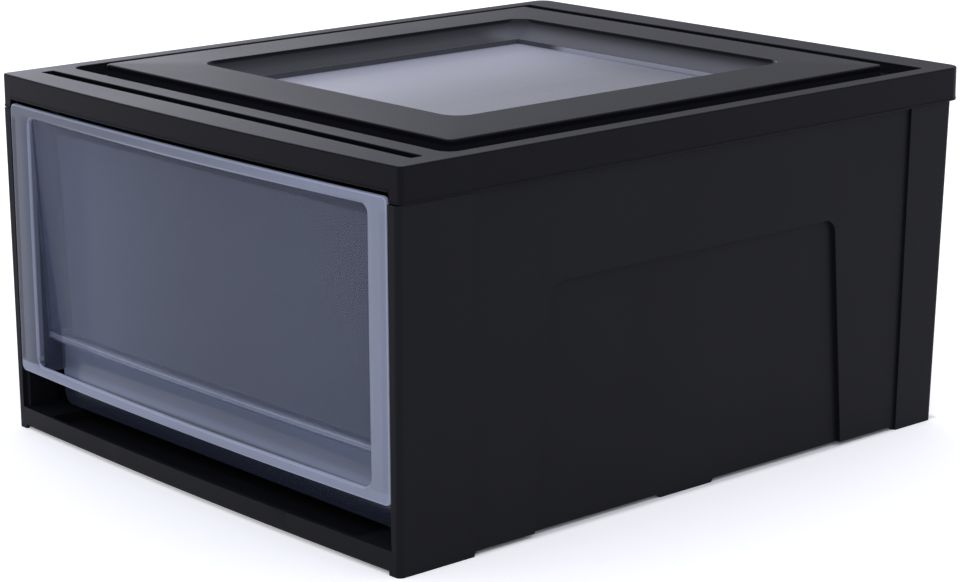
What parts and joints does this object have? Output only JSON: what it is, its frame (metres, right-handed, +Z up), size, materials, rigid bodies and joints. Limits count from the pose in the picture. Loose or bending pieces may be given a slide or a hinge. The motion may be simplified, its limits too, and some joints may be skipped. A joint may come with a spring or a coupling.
{
  "type": "stackable drawer box",
  "caption": "Stackable storage box: drafted case with foot pads, top cover with stacking groove and dished window, and a translucent drawer that slides out at the front under a bowed header.",
  "frame": {"origin": "centre of the footprint of the closed box, on the plane that the foot pads stand on", "axes": "+X to the right seen from the front, +Y from the drawer front to the rear wall, +Z up; the drawer pulls out along -Y"},
  "size_m": [0.4, 0.4758, 0.2386],
  "materials": {
    "case_plastic": "fine matt moulded polypropylene, near black",
    "cover_plastic": "satin moulded polypropylene, near black",
    "clear_pane": "clear glossy styrene",
    "smoke_plastic": "translucent smoky blue-grey polypropylene, satin"
  },
  "bodies": {
    "case": {"case_body": "case_plastic", "top_cover": "cover_plastic", "window_pane": "clear_pane"},
    "drawer": {"drawer": "smoke_plastic"}
  },
  "joints": [
    {"name": "drawer_slide", "type": "slide", "parent": "case", "child": "drawer", "axis": [0, -1, 0], "range_m": [0, 0.36]}
  ]
}
